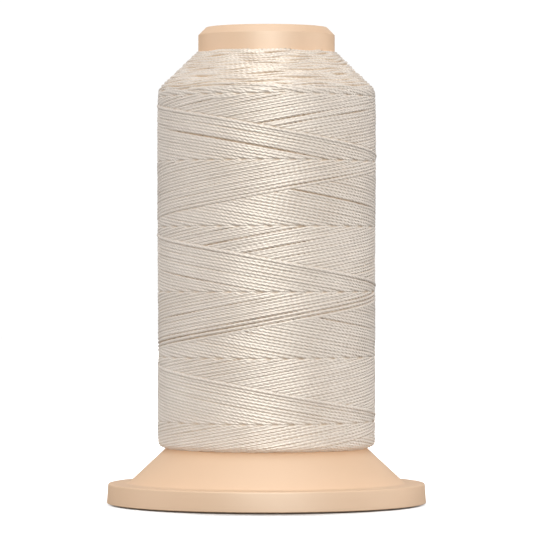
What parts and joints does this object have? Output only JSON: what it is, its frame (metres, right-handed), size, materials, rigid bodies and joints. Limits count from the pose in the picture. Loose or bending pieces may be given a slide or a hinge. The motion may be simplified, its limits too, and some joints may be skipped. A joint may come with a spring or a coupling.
{
  "type": "thread spool",
  "caption": "Foot spool of cross-wound twisted thread: conical foot with flange, winding tube, guide tube and a bevelled top cap that lifts to grip the thread's end.",
  "frame": {"origin": "on the spool's axis, in the plane that the spool stands on", "axes": "+Z along the spool's axis, from the foot to the cap; +X and +Y lie in the table plane"},
  "size_m": [0.06, 0.06, 0.0896],
  "materials": {
    "spool_plastic": "smooth satin moulding",
    "guide_plastic": "extruded, matte",
    "thread": "twisted polyester, soft sheen",
    "label_paper": "coated paper, plain"
  },
  "bodies": {
    "spool": {"foot": "spool_plastic", "base_plate": "spool_plastic", "base_label": "label_paper", "winding_tube": "spool_plastic", "spindle_tube": "guide_plastic", "thread_inner_layers": "thread", "thread_outer_layer": "thread"},
    "cap": {"top_cap": "spool_plastic", "top_label": "label_paper"}
  },
  "joints": [
    {"name": "cap_lift", "type": "slide", "parent": "spool", "child": "cap", "axis": [0, 0, 1], "range_m": [0, 0.003]}
  ]
}
